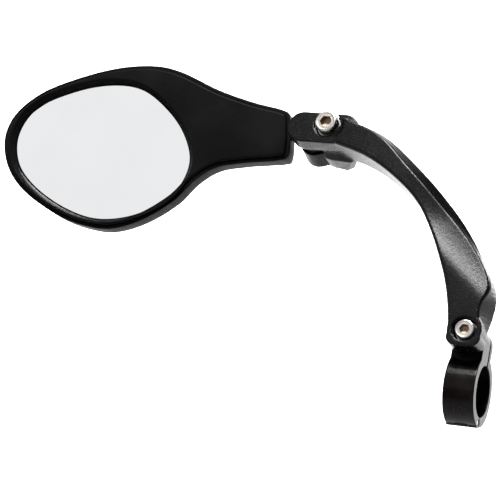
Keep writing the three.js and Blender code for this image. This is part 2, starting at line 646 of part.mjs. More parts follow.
// A plate with the lens outline and the lens's own bulge.
function crownedPlate(inset, back, thickness) {
  const centre = LENS_OUTLINE.reduce((sum, [x, y]) => [sum[0] + x, sum[1] + y], [0, 0])
    .map((v) => v / LENS_OUTLINE.length);
  const rim = smoothOutline(LENS_OUTLINE, inset, LENS_STEPS);
  const shares = [1, 0.75, 0.4];
  const sheet = (z) =>
    shares.map((share) =>
      rim.map(([x, y]) => [
        centre[0] + (x - centre[0]) * share, centre[1] + (y - centre[1]) * share,
        z + LENS_CROWN * (1 - share * share),
      ]),
    );
  const front = sheet(back + thickness);
  const rear = sheet(back).reverse();
  return stack([...rear, ...front]);
}

// ---- Assembly -----------------------------------------------------------------------------------
const finish = (color, roughness, metalness) =>
  new THREE.MeshStandardMaterial({ color, roughness, metalness });

const bracket = new THREE.Group();
bracket.rotation.x = rad(NECK_TILT);
const head = new THREE.Group();
head.position.set(BALL_CENTRE.x, BALL_CENTRE.y, BALL_CENTRE.z);
head.rotation.set(rad(HEAD_PITCH), rad(HEAD_YAW), 0);
bracket.add(head);

const steel = [0xb9b4ad, 0.3, 1];
const paint = [0x141416, 0.42, 0.1];
const plastic = [0x0f0f10, 0.5, 0];

bracket.add(
  meshOf("front_jaw", frontJaw(), finish(...paint)),
  meshOf("rear_jaw", rearJaw(), finish(...paint)),
  meshOf("hinge_pin", hingePin(), finish(...steel)),
  meshOf("clamp_bolt", capScrew(SWIVEL, SWIVEL_BOLT, SWIVEL_HEAD_TOP, -REAR_TONGUE), finish(...steel)),
  meshOf("clamp_washer", washer(SWIVEL, SWIVEL_BOLT, SWIVEL_WASHER_TOP), finish(...steel)),
  meshOf("arm", arm(), finish(...paint)),
  meshOf("ball_clamp_cap", ballCap(), finish(...paint)),
  meshOf(
    "ball_clamp_bolt",
    capScrew(BALL_BOLT_PLACE, BALL_BOLT, BALL_HEAD_TOP, CAP_BACK + 0.5),
    finish(...steel),
  ),
  meshOf("ball_clamp_washer", washer(BALL_BOLT_PLACE, BALL_BOLT, BALL_WASHER_TOP), finish(...steel)),
  meshOf("ball_seat_front", ballSeat(1), finish(...plastic)),
  meshOf("ball_seat_rear", ballSeat(-1), finish(...plastic)),
);

head.add(
  meshOf("ball_stud", ballStud(), finish(...steel)),
  meshOf("rear_shell", rearShell(), finish(...plastic)),
  meshOf("front_bezel", frontBezel(), finish(...plastic)),
  meshOf("lens_glass", crownedPlate(0, GLASS_BACK, LENS_THICKNESS), finish(0xe8ecee, 0.03, 0.9)),
  meshOf("lens_silvering", crownedPlate(0.4, SILVER_BACK, SILVER_THICKNESS), finish(0xd8dcde, 0.1, 1)),
  meshOf("lens_pad", crownedPlate(1, PAD_BACK, PAD_THICKNESS), finish(0x2a2a2a, 0.9, 0)),
  ...SCREW_PLACES.map((at, i) => meshOf("shell_screw_" + (i + 1), shellScrew(at), finish(...steel))),
);

export default bracket;
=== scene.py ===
"""Bicycle handlebar mirror: hinged bar clamp, curved swivelling arm, ball joint and oval convex mirror.

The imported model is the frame. Each sub-assembly is a class that builds its finer meshes in the frame's
own measures and dresses them; the studio, the lights and the camera come last.
"""

from __future__ import annotations

import json
import logging
import math
from dataclasses import dataclass, field
from enum import Enum
from typing import Callable, Iterable, Sequence

import bmesh
import bpy
from mathutils import Matrix, Vector
from mathutils.geometry import tessellate_polygon


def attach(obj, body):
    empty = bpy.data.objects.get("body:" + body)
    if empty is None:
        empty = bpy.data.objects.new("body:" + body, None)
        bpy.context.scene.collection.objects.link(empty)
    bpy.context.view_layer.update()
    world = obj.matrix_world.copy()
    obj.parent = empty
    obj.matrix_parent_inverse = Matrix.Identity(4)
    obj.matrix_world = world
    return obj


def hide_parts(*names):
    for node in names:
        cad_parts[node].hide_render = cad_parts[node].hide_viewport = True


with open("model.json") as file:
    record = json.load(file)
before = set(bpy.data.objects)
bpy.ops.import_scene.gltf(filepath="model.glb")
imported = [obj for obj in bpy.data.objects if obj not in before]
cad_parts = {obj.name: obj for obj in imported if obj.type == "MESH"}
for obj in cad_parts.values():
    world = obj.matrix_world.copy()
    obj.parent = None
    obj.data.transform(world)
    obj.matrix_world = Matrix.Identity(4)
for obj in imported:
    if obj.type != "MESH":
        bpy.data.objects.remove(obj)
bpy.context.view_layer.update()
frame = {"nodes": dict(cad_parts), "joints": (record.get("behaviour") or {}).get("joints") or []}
LOG = logging.getLogger("mirror")
MM = 0.001
WELD = 1e-7  # metres between vertices of a drawn piece that count as one
CAD_WELD = 1e-6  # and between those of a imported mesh
SHORTEST = 1e-6  # millimetres, keeps a curve's divisions away from zero
SPAN_STEPS = 24  # steps between two given places of an outline

Point2 = tuple[float, float]
Ring = list[Vector]


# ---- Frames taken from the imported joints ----
def joint(name: str) -> dict:
    """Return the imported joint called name."""
    return next(j for j in frame["joints"] if j["name"] == name)


def axes_frame(origin: Sequence[float], x: Vector, z: Vector) -> Matrix:
    """Return the frame at origin whose x and z axes are given.

    Args:
        origin: Place of the frame's origin in the row frame, in metres.
        x: Direction of its x axis.
        z: Direction of its z axis.

    Returns:
        The matrix from that frame, in metres, to the row frame.
    """
    y = z.cross(x)
    turn = Matrix((x, y, z)).transposed().to_4x4()
    return Matrix.Translation(Vector(origin)) @ turn


def bracket_frame() -> Matrix:
    """Return the bracket's plane: x along the bar, y up the clamp's neck, z along the swivel bolt."""
    along = Vector((1, 0, 0))
    return axes_frame((0, 0, 0), along, Vector(joint("arm_swivel")["axis"]).normalized())


def head_frame() -> Matrix:
    """Return the mirror head's frame: origin in the ball, x along the stem, z out of the lens."""
    stem = Vector(joint("mirror_roll")["axis"]).normalized()
    upright = Vector(joint("mirror_tilt")["axis"]).normalized()
    return axes_frame(joint("mirror_roll")["pos_m"], stem, stem.cross(upright))


BRACKET = bracket_frame()
HEAD = head_frame()


# ---- Shader graphs ----
class Num:
    """A number socket of a shader graph that takes part in Python expressions."""

    def __init__(self, graph: "Graph", socket: bpy.types.NodeSocket) -> None:
        """Wrap socket, which belongs to graph."""
        self.graph = graph
        self.socket = socket

    def _math(self, operation: str, a: object, b: object) -> "Num":
        """Return the result of a Math node on a and b."""
        node = self.graph.node("ShaderNodeMath", {"operation": operation}, {0: a, 1: b})
        return Num(self.graph, node.outputs[0])

    def __add__(self, other: object) -> "Num":
        """Return self + other."""
        return self._math("ADD", self, other)

    def __radd__(self, other: object) -> "Num":
        """Return other + self."""
        return self._math("ADD", other, self)

    def __sub__(self, other: object) -> "Num":
        """Return self - other."""
        return self._math("SUBTRACT", self, other)

    def __mul__(self, other: object) -> "Num":
        """Return self * other."""
        return self._math("MULTIPLY", self, other)

    def sine(self) -> "Num":
        """Return the sine of self."""
        return self._math("SINE", self, 0.0)


class Graph:
    """The node graph of one new material with a Principled shader."""

    def __init__(self, name: str) -> None:
        """Make the material called name."""
        self.material = bpy.data.materials.new(name)
        self.material.use_nodes = True
        self.tree = self.material.node_tree
        self.shader = self.tree.nodes["Principled BSDF"]

    def _feed(self, socket: bpy.types.NodeSocket, value: object) -> None:
        """Link value to socket if it is a link, or set it there."""
        if isinstance(value, Num):
            value = value.socket
        if isinstance(value, bpy.types.NodeSocket):
            self.tree.links.new(value, socket)
        else:
            socket.default_value = value

    def node(self, kind: str, settings: dict | None = None, inputs: dict | None = None) -> bpy.types.Node:
        """Add a node.

        Args:
            kind: The node's type name.
            settings: Attributes of the node.
            inputs: Values or links by socket name or number.

        Returns:
            The new node.
        """
        made = self.tree.nodes.new(kind)
        for key, value in (settings or {}).items():
            setattr(made, key, value)
        for key, value in (inputs or {}).items():
            self._feed(made.inputs[key], value)
        return made

    def set(self, **inputs: object) -> None:
        """Set or link the shader's sockets, with underscores for the spaces in their names."""
        for key, value in inputs.items():
            self._feed(self.shader.inputs[key.replace("_", " ")], value)

    def place(self) -> bpy.types.NodeSocket:
        """Return the piece's own coordinates, in metres."""
        return self.node("ShaderNodeTexCoord").outputs["Object"]

    def noise(self, grain: float, detail: float = 2.0, roughness: float = 0.5) -> Num:
        """Return noise from 0 to 1 whose cells are grain metres across."""
        inputs = {"Vector": self.place(), "Scale": 1 / grain, "Detail": detail, "Roughness": roughness}
        return Num(self, self.node("ShaderNodeTexNoise", None, inputs).outputs[0])

    def cells(self, grain: float) -> Num:
        """Return the distance to the nearest of scattered points about grain metres apart."""
        inputs = {"Vector": self.place(), "Scale": 1 / grain}
        return Num(self, self.node("ShaderNodeTexVoronoi", None, inputs).outputs["Distance"])

    def mask(self, value: Num, low: float, high: float) -> Num:
        """Return value stretched so that low gives 0 and high gives 1, with the ends held."""
        inputs = {"Value": value, "From Min": low, "From Max": high}
        return Num(self, self.node("ShaderNodeMapRange", {"clamp": True}, inputs).outputs[0])

    def bump(self, height: Num, depth: float) -> None:
        """Raise the surface by height times depth metres, in looks only."""
        inputs = {"Height": height, "Distance": depth}
        self.set(Normal=self.node("ShaderNodeBump", None, inputs).outputs[0])

    def blend(self, share: Num, a: tuple, b: tuple) -> bpy.types.NodeSocket:
        """Return the colour between a and b at share."""
        mix = self.node("ShaderNodeMix", {"data_type": "RGBA"}, {0: share, 6: a, 7: b})
        return mix.outputs[2]


def rgba(r: float, g: float, b: float) -> tuple[float, float, float, float]:
    """Return an opaque colour."""
    return (r, g, b, 1.0)


# ---- Finishes ----
@dataclass(frozen=True)
class PowderCoat:
    """Satin black powder coat on the forged arm, with fine flecks and orange peel."""

    name: str = "arm_powder_coat"
    base: tuple = rgba(0.0014, 0.0014, 0.0017)
    fleck: tuple = rgba(0.014, 0.014, 0.017)
    grain: float = 0.0006
    peel: float = 0.0016
    wear: float = 0.012
    relief: float = 0.00009
    roughness: float = 0.25
    ior: float = 1.23

    def make(self) -> bpy.types.Material:
        """Return the material."""
        g = Graph(self.name)
        speckle = g.noise(self.grain, 3.0, 0.65)
        flecks = g.mask(g.cells(self.grain * 1.6), 0.16, 0.04)
        worn = g.noise(self.wear, 3.0)
        g.set(Base_Color=g.blend(flecks * 0.8, self.base, self.fleck))
        g.set(Roughness=self.roughness + (speckle - 0.5) * 0.34 + (worn - 0.5) * 0.08)
        g.bump(speckle * 0.8 + g.noise(self.peel, 2.0) * 0.4, self.relief)
        g.set(IOR=self.ior)
        return g.material


@dataclass(frozen=True)
class SmoothPaint:
    """Smooth semi-gloss black paint on the clamp's jaws."""

    name: str = "clamp_paint"
    base: tuple = rgba(0.0026, 0.0018, 0.0017)
    worn: tuple = rgba(0.0055, 0.0042, 0.004)
    roughness: float = 0.2
    ior: float = 1.16
    cloud: float = 0.006
    grain: float = 0.0009
    peel: float = 0.0018
    relief: float = 0.00003

    def make(self) -> bpy.types.Material:
        """Return the material."""
        g = Graph(self.name)
        cloud = g.noise(self.cloud, 4.0)
        grain = g.noise(self.grain, 3.0)
        g.set(Base_Color=g.blend(g.mask(cloud, 0.45, 0.75), self.base, self.worn))
        g.set(Roughness=self.roughness + (grain - 0.5) * 0.12 + (cloud - 0.5) * 0.08)
        g.bump(g.noise(self.peel, 2.0), self.relief)
        g.set(IOR=self.ior)
        return g.material


@dataclass(frozen=True)
class Moulding:
    """Satin black moulded plastic with a fine spark-eroded grain."""

    name: str = "head_moulding"
    base: tuple = rgba(0.0022, 0.0022, 0.0024)
    bloom: tuple = rgba(0.004, 0.004, 0.0042)
    roughness: float = 0.42
    grain: float = 0.0004
    cloud: float = 0.02
    relief: float = 0.00004
    ior: float = 1.09

    def make(self) -> bpy.types.Material:
        """Return the material."""
        g = Graph(self.name)
        texture = g.noise(self.grain, 4.0, 0.6)
        cloud = g.noise(self.cloud, 3.0)
        g.set(Base_Color=g.blend(g.mask(cloud, 0.4, 0.7), self.base, self.bloom))
        g.set(Roughness=self.roughness + (texture - 0.5) * 0.16 + (cloud - 0.5) * 0.06)
        g.bump(texture, self.relief)
        g.set(IOR=self.ior)
        return g.material


@dataclass(frozen=True)
class Stainless:
    """Turned stainless steel: fine rings about the screw's axis and faint scratches."""

    name: str
    centre: tuple[float, float, float]
    axis: tuple[float, float, float]
    base: tuple = rgba(0.36, 0.345, 0.325)
    stain: tuple = rgba(0.2, 0.18, 0.16)
    roughness: float = 0.26
    pitch: float = 0.00016
    dirt: float = 0.0018
    scratch: float = 0.0002
    relief: float = 0.000006

    def make(self) -> bpy.types.Material:
        """Return the material."""
        g = Graph(self.name)
        kind = "ShaderNodeVectorMath"
        away = g.node(kind, {"operation": "SUBTRACT"}, {0: g.place(), 1: self.centre})
        cross = g.node(kind, {"operation": "CROSS_PRODUCT"}, {0: away.outputs[0], 1: self.axis})
        radius = g.node(kind, {"operation": "LENGTH"}, {0: cross.outputs[0]})
        rings = (Num(g, radius.outputs["Value"]) * (2 * math.pi / self.pitch)).sine() * 0.5 + 0.5
        dirt = g.noise(self.dirt, 4.0, 0.6)
        g.set(Base_Color=g.blend(g.mask(dirt, 0.5, 0.8), self.base, self.stain))
        g.set(Metallic=1.0, Roughness=self.roughness + rings * 0.06 + (dirt - 0.5) * 0.22)
        g.bump(rings * 0.4 + g.noise(self.scratch, 2.0) * 0.6, self.relief)
        return g.material


@dataclass(frozen=True)
class SocketShade:
    """The punched floor and walls of a hex socket, coloured a dark brown as painted shade in the recess."""

    name: str = "socket_floor"
    base: tuple = rgba(0.20, 0.13, 0.085)
    light: tuple = rgba(0.42, 0.33, 0.25)
    grain: float = 0.0009
    relief: float = 0.00004

    def make(self) -> bpy.types.Material:
        """Return the material."""
        g = Graph(self.name)
        patch = g.noise(self.grain, 4.0, 0.6)
        g.set(Base_Color=g.blend(g.mask(patch, 0.35, 0.7), self.base, self.light))
        g.set(Metallic=0.85, Roughness=0.42 + (patch - 0.5) * 0.3)
        g.bump(patch, self.relief)
        return g.material


@dataclass(frozen=True)
class MirrorGlass:
    """Silvered convex glass with the faintest waviness and a trace of dust."""

    name: str = "mirror_glass"
    silver: tuple = rgba(0.93, 0.935, 0.945)
    dust: tuple = rgba(0.88, 0.885, 0.89)
    cloud: float = 0.03
    speck: float = 0.004
    wave: float = 0.05
    relief: float = 0.00001

    def make(self) -> bpy.types.Material:
        """Return the material."""
        g = Graph(self.name)
        haze = g.noise(self.cloud, 4.0)
        specks = g.mask(g.cells(self.speck), 0.06, 0.02)
        g.set(Base_Color=g.blend(g.mask(haze, 0.4, 0.8) * 0.6 + specks * 0.3, self.silver, self.dust))
        g.set(Metallic=1.0, Roughness=0.03 + g.mask(haze, 0.5, 0.9) * 0.03 + specks * 0.05)
        g.bump(g.noise(self.wave, 1.0), self.relief)
        return g.material


@dataclass(frozen=True)
class Plain:
    """A hidden or small piece's finish: one colour with a grain in its roughness and surface."""

    name: str
    base: tuple
    roughness: float
    metallic: float = 0.0
    grain: float = 0.0008
    relief: float = 0.00003

    def make(self) -> bpy.types.Material:
        """Return the material."""
        g = Graph(self.name)
        grain = g.noise(self.grain, 3.0)
        light = tuple(min(1.0, c * 1.5 + 0.004) for c in self.base[:3]) + (1.0,)
        g.set(Base_Color=g.blend(g.mask(grain, 0.4, 0.75), self.base, light))
        g.set(Metallic=self.metallic, Roughness=self.roughness + (grain - 0.5) * 0.2)
        g.bump(grain, self.relief)
        return g.material


# ---- Mesh tools ----
def scene_object(name: str, data: bpy.types.ID) -> bpy.types.Object:
    """Return a new object of the scene that holds data."""
    made = bpy.data.objects.new(name, data)
    bpy.context.scene.collection.objects.link(made)
    return made


def piece_from(
    name: str, places: Iterable[Vector], faces: Iterable[Sequence[int]], place: Matrix
) -> bpy.types.Object:
    """Make a mesh object from places in millimetres.

    Args:
        name: The object's name.
        places: Vertex places in the local frame, in millimetres.
        faces: Vertex numbers of each face.
        place: The local frame in the row frame, in metres.

    Returns:
        The object, at the origin, with its place in its mesh.
    """
    mesh = bpy.data.meshes.new(name)
    mesh.from_pydata([place @ (Vector(p) * MM) for p in places], [], list(faces))
    mesh.validate()
    return scene_object(name, mesh)


def finish_surface(piece: bpy.types.Object, sharp_deg: float = 38.0) -> None:
    """Turn the faces of piece outwards and shade it smooth between edges over sharp_deg."""
    work = bmesh.new()
    work.from_mesh(piece.data)
    bmesh.ops.remove_doubles(work, verts=work.verts, dist=WELD)
    bmesh.ops.recalc_face_normals(work, faces=work.faces)
    work.to_mesh(piece.data)
    work.free()
    piece.data.shade_smooth()
    piece.data.set_sharp_from_angle(angle=math.radians(sharp_deg))


def apply_modifiers(piece: bpy.types.Object) -> None:
    """Replace the mesh of piece by its evaluated mesh and remove its modifiers."""
    graph = bpy.context.evaluated_depsgraph_get()
    graph.update()
    mesh = bpy.data.meshes.new_from_object(piece.evaluated_get(graph))
    piece.modifiers.clear()
    piece.data = mesh
    mesh.name = piece.name


def cut(target: bpy.types.Object, tools: Sequence[bpy.types.Object]) -> None:
    """Cut closed meshes from target, and delete them."""
    for tool in tools:
        step = target.modifiers.new("cut", "BOOLEAN")
        step.operation = "DIFFERENCE"
        step.solver = "EXACT"
        step.object = tool
        apply_modifiers(target)
        bpy.data.objects.remove(tool)


def join(pieces: Sequence[bpy.types.Object]) -> bpy.types.Object:
    """Put the meshes of all pieces into the first one, and delete the others."""
    whole, *others = pieces
    for piece in others:
        work = bmesh.new()
        work.from_mesh(whole.data)
        work.from_mesh(piece.data)
        work.to_mesh(whole.data)
        work.free()
        bpy.data.objects.remove(piece)
    return whole


def soften(piece: bpy.types.Object, voxel_mm: float, passes: int) -> None:
    """Rebuild piece as one even skin and round its edges.

    Args:
        piece: A closed mesh or several that overlap.
        voxel_mm: Size of the new faces.
        passes: Smoothing passes, each about half a face wide.
    """
    skin = piece.modifiers.new("skin", "REMESH")
    skin.mode = "VOXEL"
    skin.voxel_size = voxel_mm * MM
    skin.adaptivity = 0.0
    smooth = piece.modifiers.new("smooth", "SMOOTH")
    smooth.iterations = passes
    apply_modifiers(piece)
    piece.data.shade_smooth()


def ease(share: float) -> float:
    """Return share held between 0 and 1 and eased at both ends."""
    held = min(1.0, max(0.0, share))
    return held * held * (3 - 2 * held)


def node_box(node: str, place: Matrix) -> tuple[Vector, Vector]:
    """Return a CAD node's two box corners in a local frame, in millimetres.

    Args:
        node: The node's name.
        place: The local frame in the row frame, in metres.

    Returns:
        The low and the high corner.
    """
    inverse = place.inverted()
    axes = list(zip(*(inverse @ v.co / MM for v in frame["nodes"][node].data.vertices)))
    return Vector([min(axis) for axis in axes]), Vector([max(axis) for axis in axes])


def cad_copy(node: str, name: str) -> bpy.types.Object:
    """Return a merged copy of a CAD node's mesh."""
    made = scene_object(name, frame["nodes"][node].data.copy())
    made.data.name = name
    made.data.materials.clear()
    work = bmesh.new()
    work.from_mesh(made.data)
    bmesh.ops.remove_doubles(work, verts=work.verts, dist=CAD_WELD)
    work.to_mesh(made.data)
    work.free()
    return made


def dress(
    piece: bpy.types.Object, body: str, slot: str, material: bpy.types.Material, *nodes: str
) -> None:
    """Give a finished piece its material and body, and let it stand for CAD nodes.

    Args:
        piece: The piece.
        body: The body that it moves with.
        slot: Not used.
        material: Its material; a piece that already has materials keeps them.
        *nodes: CAD nodes that it replaces.
    """
    if not piece.data.materials:
        piece.data.materials.append(material)
    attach(piece, body)
    if nodes:
        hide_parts(*nodes)
    LOG.info("%s: %d faces", piece.name, len(piece.data.polygons))


def curve_place(corners: Sequence[Vector], share: float) -> Vector:
    """Return a place on a centripetal curve, from the second of four corners to the third.

    Args:
        corners: The four places that steer this span of the curve.
        share: How far along the span, from 0 to 1.

    Returns:
        The place.
    """
    a, b, c, d = corners
    knots = [0.0]
    for u, v in ((a, b), (b, c), (c, d)):
        knots.append(knots[-1] + max((v - u).length, SHORTEST) ** 0.5)
    k0, k1, k2, k3 = knots
    t = k1 + (k2 - k1) * share
    a1 = a.lerp(b, (t - k0) / (k1 - k0))
    a2 = b.lerp(c, (t - k1) / (k2 - k1))
    a3 = c.lerp(d, (t - k2) / (k3 - k2))
    b1 = a1.lerp(a2, (t - k0) / (k2 - k0))
    b2 = a2.lerp(a3, (t - k1) / (k3 - k1))
    return b1.lerp(b2, (t - k1) / (k2 - k1))


def smooth_outline(points: Sequence[Point2], count: int) -> list[Vector]:
    """Return count places evenly spread along a closed curve through points.

    Args:
        points: The places that the curve passes.
        count: How many places to return.

    Returns:
        The places, as flat vectors.
    """
    p = [Vector(q) for q in points]
    n = len(p)
    fine: list[Vector] = []
    for i in range(n):
        corners = (p[i - 1], p[i], p[(i + 1) % n], p[(i + 2) % n])
        fine += [curve_place(corners, k / SPAN_STEPS) for k in range(SPAN_STEPS)]
    fine.append(fine[0].copy())
    lengths = [0.0]
    for u, v in zip(fine, fine[1:]):
        lengths.append(lengths[-1] + (v - u).length)
    out, at = [], 0
    for i in range(count):
        want = lengths[-1] * i / count
        while at < len(fine) - 2 and lengths[at + 1] < want:
            at += 1
        share = (want - lengths[at]) / max(lengths[at + 1] - lengths[at], SHORTEST)
        out.append(fine[at].lerp(fine[at + 1], min(1.0, share)))
    return out


def inset_ring(outline: Sequence[Vector], inset: Callable[[Vector], float], z: float) -> Ring:
    """Return a counterclockwise outline moved inwards and lifted to z.

    Args:
        outline: Flat places.
        inset: The distance inwards for each place.
        z: Height of the ring.

    Returns:
        The ring.
    """
    ring: Ring = []
    n = len(outline)
    for i, p in enumerate(outline):
        along = (outline[(i + 1) % n] - outline[i - 1]).normalized()
        by = inset(p)
        ring.append(Vector((p.x - along.y * by, p.y + along.x * by, z)))
    return ring


def skin_rings(rings: Sequence[Ring], first: int = 0) -> list[tuple[int, ...]]:
    """Return the side faces between rings of equal length, numbered from first."""
    n = len(rings[0])
    faces = []
    for level in range(len(rings) - 1):
        start = first + level * n
        for i in range(n):
            j = (i + 1) % n
            faces.append((start + i, start + j, start + n + j, start + n + i))
    return faces


def turned(name: str, profile: Sequence[Point2], sides: int, place: Matrix) -> bpy.types.Object:
    """Make a solid of revolution about z from a profile that starts and ends on the axis.

    Args:
        name: The object's name.
        profile: (radius, height) pairs from the bottom to the top.
        sides: Faces around.
        place: The local frame in the row frame.

    Returns:
        The piece.
    """
    places = [Vector((0, 0, profile[0][1]))]
    inner = profile[1:-1]
    for radius, z in inner:
        for i in range(sides):
            turn = 2 * math.pi * i / sides
            places.append(Vector((radius * math.cos(turn), radius * math.sin(turn), z)))
    places.append(Vector((0, 0, profile[-1][1])))
    faces: list[Sequence[int]] = []
    for i in range(sides):
        j = (i + 1) % sides
        faces.append((0, 1 + j, 1 + i))
        for level in range(len(inner) - 1):
            a = 1 + level * sides
            faces.append((a + i, a + j, a + sides + j, a + sides + i))
        top = 1 + (len(inner) - 1) * sides
        faces.append((top + i, top + j, len(places) - 1))
    return piece_from(name, places, faces, place)


# ---- Mirror head ----
# Places along the outer edge of the head and of its lens, in millimetres in the head's own plane.
HEAD_OUTLINE: tuple[Point2, ...] = (
    (-10.4, 6.6), (-11.8, 10.2), (-15, 11.6), (-29, 14), (-47, 18.6), (-67, 26), (-79, 28.1),
    (-97, 26.3), (-118, 19.6), (-138, 9.4), (-149.4, -3), (-151.9, -15), (-147.4, -28.4),
    (-138, -38.6), (-116, -50.2), (-101, -53.6), (-90, -53.6), (-76, -48.4), (-60.6, -37.1),
    (-51.4, -25.8), (-43, -19.6), (-30, -16.2), (-13.4, -13.4), (-9.4, -11.8), (-8.6, -8),
)
LENS_OUTLINE: tuple[Point2, ...] = (
    (-101, 17.1), (-119, 12.7), (-138.9, 1.6), (-145.3, -12), (-142.8, -25), (-133.5, -35.2),
    (-114.3, -45.4), (-96.7, -48.8), (-77, -44), (-61.2, -31.9), (-56.6, -17), (-63, -2),
    (-77, 11.2), (-87.5, 16.4),
)


@dataclass
class MirrorHead:
    """The oval head: rear shell, front bezel and domed mirror glass, in the head's own frame.

    All sizes are in millimetres.
    """

    outline_steps: int = 420
    lens_steps: int = 320
    shell_back: float = -8.0
    shell_front: float = 4.4
    wall: float = 1.6
    shell_step: float = -2.0
    back_rounding: float = 4.9
    back_steps: int = 12
    lip: float = 0.55
    lip_steps: int = 6
    seam: float = 0.3
    bezel_back: float = 3.8
    bezel_front: float = 6.0
    bezel_rounding: float = 1.0
    bezel_steps: int = 8
    recess_slope: float = 2.0
    recess_curl: float = 1.6
    recess_edge: float = 0.35
    recess_steps: int = 10
    lens_edge: float = 2.6
    lens_back: float = 0.6
    lens_crown: float = 1.7
    lens_bevel: float = 0.35
    lens_rings: int = 36
    tray_wall: float = 0.9
    tray_floor: float = -1.3
    tray_back: float = -2.5
    neck_end: float = 16.0
    neck_room: float = 1.0
    neck_slope: float = 0.4
    trim: float = 0.45
    outline: list[Vector] = field(default_factory=list)
    lens: list[Vector] = field(default_factory=list)

    def __post_init__(self) -> None:
        """Draw the two outlines."""
        self.outline = smooth_outline(HEAD_OUTLINE, self.outline_steps)
        self.lens = smooth_outline(LENS_OUTLINE, self.lens_steps)

    def _ring(self, inset: float, rounding: float, z: float) -> Ring:
        """Return the head's outline at z, inset all round and rounded where there is room."""
        def by(p: Vector) -> float:
            """Return the inset at p."""
            room = self.neck_room + max(0.0, (-p.x - self.neck_end) * self.neck_slope)
            return self.trim + inset + min(rounding, room)

        return inset_ring(self.outline, by, z)

    def _lens_ring(self, inset: float, z: float) -> Ring:
        """Return the lens outline at z, moved inwards by inset."""
        return inset_ring(self.lens, lambda _: inset, z)

    def _rounded(self, inset: float, rounding: float, top: float, steps: int) -> list[Ring]:
        """Return the rings of an outer edge rounded over up to top.

        Args:
            inset: How far inside the outline the edge runs.
            rounding: The edge's radius.
            top: Height where the rounding ends.
            steps: Rings over the quarter turn.

        Returns:
            The rings, from the bottom.
        """
        rings = []
        for i in range(1, steps + 1):
            t = math.pi / 2 * i / steps
            rings.append(self._ring(inset, rounding * (1 - math.cos(t)), top - rounding * (1 - math.sin(t))))
        return rings

    def build_shell(self) -> bpy.types.Object:
        """Build the rear shell as an open cup: up its outside, over the lip and down its inside."""
        rings = []
        for i in range(self.back_steps + 1):
            t = math.pi / 2 * i / self.back_steps
            inset, rise = self.back_rounding * (1 - math.sin(t)), self.back_rounding * (1 - math.cos(t))
            rings.append(self._ring(0, inset, self.shell_back + rise))
        rings += [self._ring(0, 0, z) for z in (0.0, self.shell_front - self.lip)]
        rings += self._rounded(0, self.lip, self.shell_front, self.lip_steps)
        rings += [self._ring(self.wall, 0, z) for z in (self.shell_front, self.shell_step)]
        rings.append(self._ring(self.wall, self.back_rounding - 0.5, self.shell_back + self.wall))
        faces: list[Sequence[int]] = [*skin_rings(rings), *tessellate_polygon([rings[0]])]
        last = (len(rings) - 1) * len(rings[0])
        faces += [tuple(last + i for i in triangle) for triangle in tessellate_polygon([rings[-1]])]
        piece = piece_from("rear_shell_moulding", [p for ring in rings for p in ring], faces, HEAD)
        finish_surface(piece, sharp_deg=50)
        return piece

    def _well_rings(self) -> list[Ring]:
        """Return the rings of the recess around the lens, from the bezel's face down to the tray's floor."""
        depth = self.bezel_front - self.lens_edge
        rings = [self._lens_ring(-self.recess_slope - self.recess_edge, self.bezel_front)]
        for i in range(1, self.recess_steps + 1):
            t = i / self.recess_steps
            out = -self.recess_slope * (1 - t) ** self.recess_curl - self.seam
            rings.append(self._lens_ring(out, self.bezel_front - 0.12 - (depth - 0.1) * t))
        rings.append(self._lens_ring(-self.seam, self.tray_floor))
        return rings

    def build_bezel(self) -> bpy.types.Object:
        """Build the front bezel as one closed skin with the recess around the lens."""
        inset = self.wall + self.seam
        outer = [self._ring(inset, 0, z) for z in (self.bezel_back, self.bezel_front - self.bezel_rounding)]
        outer += self._rounded(inset, self.bezel_rounding, self.bezel_front, self.bezel_steps)
        well = self._well_rings()
        around = -self.seam - self.tray_wall
        tray = [self._lens_ring(around, self.tray_back), self._lens_ring(around, self.bezel_back)]
        places: list[Vector] = []
        faces: list[Sequence[int]] = []
        starts = []
        for rings in (outer, well, tray):
            starts.append(len(places))
            faces += skin_rings(rings, len(places))
            places += [p for ring in rings for p in ring]
        n, m = len(outer[0]), len(well[0])
        back, rim, tray_back = starts
        face, tray_top = back + (len(outer) - 1) * n, tray_back + m
        floor = rim + (len(well) - 1) * m
        for loops in ([(face, n), (rim, m)], [(back, n), (tray_top, m)], [(floor, m)], [(tray_back, m)]):
            numbers = [first + i for first, count in loops for i in range(count)]
            outlines = [[places[first + i] for i in range(count)] for first, count in loops]
            faces += [tuple(numbers[i] for i in triangle) for triangle in tessellate_polygon(outlines)]
        piece = piece_from("front_bezel_moulding", places, faces, HEAD)
        finish_surface(piece, sharp_deg=32)
        return piece

    def build_glass(self) -> bpy.types.Object:
        """Build the domed glass with a ground edge."""
        centre = sum(self.lens, Vector((0, 0))) / len(self.lens)
        sides = (self.lens_back, self.lens_edge - self.lens_bevel)
        rings: list[Ring] = [self._lens_ring(0.0, z) for z in sides]
        for i in range(self.lens_rings):
            share = 1 - i / self.lens_rings
            z = self.lens_edge + self.lens_crown * (1 - share * share)
            ring = []
            for p in self._lens_ring(0.3, 0.0):
                flat = centre.lerp(Vector((p.x, p.y)), share)
                ring.append(Vector((flat.x, flat.y, z)))
            rings.append(ring)
        n = len(rings[0])
        places = [p for ring in rings for p in ring]
        places.append(Vector((centre.x, centre.y, self.lens_edge + self.lens_crown)))
        places.append(Vector((centre.x, centre.y, self.lens_back)))
        faces: list[Sequence[int]] = list(skin_rings(rings))
        last = (len(rings) - 1) * n
        for i in range(n):
            j = (i + 1) % n
            faces.append((last + i, last + j, len(places) - 2))
            faces.append((j, i, len(places) - 1))
        piece = piece_from("mirror_glass", places, faces, HEAD)
        finish_surface(piece, sharp_deg=30)
        return piece

